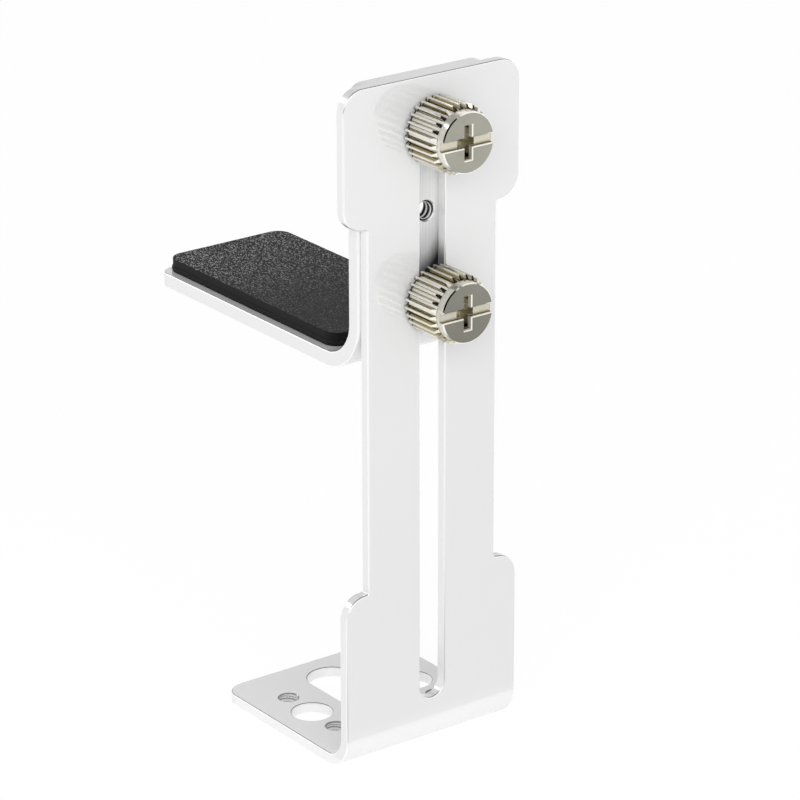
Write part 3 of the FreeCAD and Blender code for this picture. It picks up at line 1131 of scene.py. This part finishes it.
@dataclass(frozen=True)
class SoftRoom:
    """The light from all round, and the dark zones that shiny surfaces mirror."""

    around: float = 0.66
    top_loss: float = 0.38
    left_gain: float = 0.10
    front_gain: float = 0.27
    dark_axis: Place = (0.1, 0.9, 1.0)
    dark_below: Span = (0.342, 0.326)
    dark_front: Span = (0.0, 0.05)
    panel_axis: Place = (0.082, -0.634, 0.77)
    panel_reach: Span = (0.985, 0.992)
    panel_share: float = 0.75
    ceiling_height: Span = (0.54, 0.62)
    ceiling_back: Span = (0.1, 0.22)
    ceiling_share: float = 0.6
    darkest: float = 0.01

    def build(self) -> None:
        """Make the world: white to the camera, a gradient for surfaces and dark zones in reflections."""
        world = bpy.data.worlds.new("soft_studio")
        bpy.context.scene.world = world
        world.use_nodes = True
        world.node_tree.nodes.clear()
        graph = Graph(world.node_tree)
        direction = graph.add("ShaderNodeTexCoord").outputs["Generated"]
        rays = graph.add("ShaderNodeLightPath").outputs

        def toward(x: float, y: float, z: float) -> Socket:
            """Return the cosine between the ray and a direction."""
            return graph.vector("DOT_PRODUCT", direction, Vector((x, y, z)).normalized())["Value"]

        up = graph.math("MAXIMUM", toward(0, 0, 1), 0.0)
        level = graph.math("SUBTRACT", self.around, graph.product(up, up, self.top_loss))
        level = graph.math("ADD", level, graph.product(toward(-1, 0, 0), self.left_gain))
        level = graph.math("ADD", level, graph.product(toward(0, -1, 0), self.front_gain))
        below = graph.product(graph.ramp(toward(*self.dark_axis), *self.dark_below),
                              graph.ramp(toward(0, -1, 0), *self.dark_front))
        panel = graph.ramp(toward(*self.panel_axis), *self.panel_reach)
        dark = graph.product(below, graph.rest(graph.product(panel, self.panel_share)))
        ceiling = graph.product(graph.ramp(toward(0, 0, 1), *self.ceiling_height),
                                graph.ramp(toward(0, 1, 0), *self.ceiling_back))
        dark = graph.math("MAXIMUM", dark, graph.product(ceiling, self.ceiling_share))
        room = graph.ramp(dark, 0.0, 1.0, 1.0, self.darkest, smooth=False)
        seen = graph.math("MAXIMUM", rays["Is Camera Ray"], rays["Is Transmission Ray"])
        mirrored = graph.product(rays["Is Glossy Ray"], graph.rest(seen))
        value = graph.choose(seen, graph.choose(mirrored, level, room), 1.0)
        shade = graph.add("ShaderNodeBackground", {"Color": graph.grey(value), "Strength": 1.0})
        out = graph.add("ShaderNodeOutputWorld")
        graph.tree.links.new(shade.outputs[0], out.inputs["Surface"])


@dataclass(frozen=True)
class PaleFloor:
    """The floor: white to the camera with a faint shadow, and a dimmer patch in front in reflections."""

    half: float = 3.0
    height: float = -0.02 * MM
    shadowed: Colour = (0.14, 0.14, 0.14)
    glow: float = 0.908
    spread: Colour = (0.6, 0.6, 0.6)
    lit: float = 0.44
    patch_right: float = 0.6
    patch_ahead: float = 0.8
    patch_side: Span = (0.05, 0.02)
    patch_front: Span = (-0.003, -0.010)
    tone_reach: Span = (0.14, 0.22)
    tones: Span = (0.38, 0.56)

    @staticmethod
    def _glowing(graph: Graph, colour: Colour, strength: float) -> Socket:
        """Make a shader that spreads light by a colour and glows by itself.

        Args:
            graph: The material's graph.
            colour: What part of the light it spreads.
            strength: How strongly it glows.

        Returns:
            The shader's socket.
        """
        diffuse = graph.add("ShaderNodeBsdfDiffuse", {"Color": opaque(colour)})
        glow = graph.add("ShaderNodeEmission", {"Color": (1.0, 1.0, 1.0, 1.0), "Strength": strength})
        return graph.add("ShaderNodeAddShader", {0: diffuse.outputs[0], 1: glow.outputs[0]}).outputs[0]

    def _finish(self) -> bpy.types.Material:
        """Make the floor's material.

        Returns:
            The material.
        """
        material, graph, out = material_with_graph("pale_floor")
        rays = graph.add("ShaderNodeLightPath").outputs
        away = graph.apart(graph.object_place((0.0, FACE_Y, 0.0)))
        along = graph.math("SUBTRACT", graph.product(away[0], self.patch_right),
                           graph.product(away[1], self.patch_ahead))
        beside = graph.math("ABSOLUTE", graph.math(
            "ADD", graph.product(away[0], self.patch_ahead), graph.product(away[1], self.patch_right)))
        patch = graph.product(graph.ramp(beside, *self.patch_side), graph.ramp(away[1], *self.patch_front))
        dim = graph.choose(patch, 1.0, graph.ramp(along, *self.tone_reach, *self.tones))
        mirrored = graph.add("ShaderNodeEmission", {"Strength": dim})
        seen = graph.math("MAXIMUM", rays["Is Camera Ray"], rays["Is Transmission Ray"])
        first = graph.add("ShaderNodeMixShader", {
            0: rays["Is Glossy Ray"], 1: self._glowing(graph, self.spread, self.lit), 2: mirrored.outputs[0]})
        last = graph.add("ShaderNodeMixShader", {
            0: seen, 1: first.outputs[0], 2: self._glowing(graph, self.shadowed, self.glow)})
        graph.tree.links.new(last.outputs[0], out.inputs["Surface"])
        return material

    def build(self) -> None:
        """Lay the floor."""
        half = self.half
        mesh = bpy.data.meshes.new("studio_floor")
        corners = [(-half, -half, self.height), (half, -half, self.height), (half, half, self.height),
                   (-half, half, self.height)]
        mesh.from_pydata(corners, [], [(0, 1, 2, 3)])
        floor = bpy.data.objects.new("studio_floor", mesh)
        bpy.context.scene.collection.objects.link(floor)
        floor.data.materials.append(self._finish())


@dataclass(frozen=True)
class Softbox:
    """A flat lamp, turned to the middle of the part and hidden from the camera."""

    name: str
    place: Place
    width: float
    height: float
    watts: float
    mirrored: bool

    def build(self) -> None:
        """Hang the lamp."""
        data = bpy.data.lights.new(self.name, "AREA")
        data.shape = "RECTANGLE"
        data.size = self.width
        data.size_y = self.height
        data.energy = self.watts
        lamp = bpy.data.objects.new(self.name, data)
        aim = Vector(PART_MIDDLE) - Vector(self.place)
        lamp.visible_camera = False
        lamp.visible_glossy = self.mirrored
        lamp.matrix_world = Matrix.Translation(self.place) @ aim.to_track_quat("-Z", "Y").to_matrix().to_4x4()
        bpy.context.scene.collection.objects.link(lamp)


@dataclass(frozen=True)
class PhotoCamera:
    """The camera at the photograph's place and angle, in degrees and in millimetres of lens."""

    place: Place = (-0.275731, -0.383924, 0.225867)
    azimuth: float = -36.6
    elevation: float = 21.277
    roll: float = -0.115
    lens: float = 177.63
    sensor: float = 36.0
    near: float = 0.01
    far: float = 20.0

    def build(self) -> None:
        """Place the camera by its azimuth, elevation and roll."""
        turn = math.radians(self.azimuth)
        lift = math.radians(self.elevation)
        tilt = math.radians(self.roll)
        back = Vector((math.sin(turn) * math.cos(lift), -math.cos(turn) * math.cos(lift), math.sin(lift)))
        right = Vector((math.cos(turn), math.sin(turn), 0.0))
        up = back.cross(right)
        rolled_right = math.cos(tilt) * right + math.sin(tilt) * up
        rolled_up = -math.sin(tilt) * right + math.cos(tilt) * up
        data = bpy.data.cameras.new("photo_camera")
        data.lens = self.lens
        data.sensor_width = self.sensor
        data.clip_start = self.near
        data.clip_end = self.far
        camera = bpy.data.objects.new("photo_camera", data)
        axes = Matrix((rolled_right, rolled_up, back)).transposed().to_4x4()
        camera.matrix_world = Matrix.Translation(Vector(self.place)) @ axes
        bpy.context.scene.collection.objects.link(camera)
        bpy.context.scene.camera = camera


def build_hole_threads(shared: SharedEffects) -> None:
    """Thread the arm's spare hole and the foot's four tapped holes.

    Args:
        shared: The shader groups.
    """
    spare_finish = HoleThreadFinish("arm_spare_thread_finish", SPARE_HOLE, upright=False)
    HoleThread("arm_spare_thread", Body.ARM, SPARE_HOLE, upright=False, length=ARM_SHEET).build(
        spare_finish.build(shared))
    foot_crest = 1.2 * MM
    for side_name, x in FOOT_HOLE_X.items():
        for end_name, y in FOOT_HOLE_Y.items():
            name = f"foot_{side_name}_{end_name}_thread"
            # The foot's thread grooves are painted a lighter shade than the arm's
            finish = HoleThreadFinish(f"{name}_finish", (x, y, 0.0), upright=True, groove=(0.16, 0.16, 0.16),
                                      crest_radius=foot_crest)
            HoleThread(name, Body.STAND, (x, y, 0.0), upright=True, length=STAND_SHEET,
                       crest_radius=foot_crest).build(finish.build(shared))


def main() -> None:
    """Dress the CAD nodes, add the pieces and set up the studio."""
    logging.basicConfig(level=logging.INFO, format="%(name)s: %(message)s")
    shared = SharedEffects()
    patch = PaintedSlotShade()
    stand_coat = WhiteCoat("stand_coat_finish", STAND_FOLD, on_arm=False).build(shared, patch)
    arm_coat = WhiteCoat("arm_coat_finish", ARM_FOLD, on_arm=True).build(shared, patch)
    upper_nickel = Nickel("upper_nickel_finish", UPPER_SCREW_Z).build(shared)
    # The lower thumbscrew's crests, disc and face are painted darker than the upper's, as shade
    lower_nickel = Nickel("lower_nickel_finish", LOWER_SCREW_Z, bright=(0.97, 0.94, 0.84),
                          disc=(0.74, 0.72, 0.64), face=(0.54, 0.525, 0.45)).build(shared)
    for node, finish in (("stand_bracket", stand_coat), ("arm_bracket", arm_coat),
                         ("upper_thumbscrew", upper_nickel), ("lower_thumbscrew", lower_nickel)):
        dress(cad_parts[node], finish)
        LOG.info("%s: dressed", node)
    build_hole_threads(shared)
    ScrewThread("upper_screw_thread", Body.UPPER_SCREW, UPPER_SCREW_Z).build(upper_nickel)
    ScrewThread("lower_screw_thread", Body.LOWER_SCREW, LOWER_SCREW_Z).build(lower_nickel)
    PadStack().build(GrainedRubber().build(shared), FoamTape().build(shared))
    bpy.context.scene.view_settings.view_transform = "Standard"
    PhotoCamera().build()
    SoftRoom().build()
    PaleFloor().build()
    Softbox("front_left_softbox", (-0.46, -0.70, 0.48), 0.9, 0.45, watts=3.4, mirrored=False).build()
    Softbox("back_softbox", (-0.40, 0.80, 0.56), 0.34, 0.22, watts=0.6, mirrored=True).build()


if __name__ == "__main__":
    main()
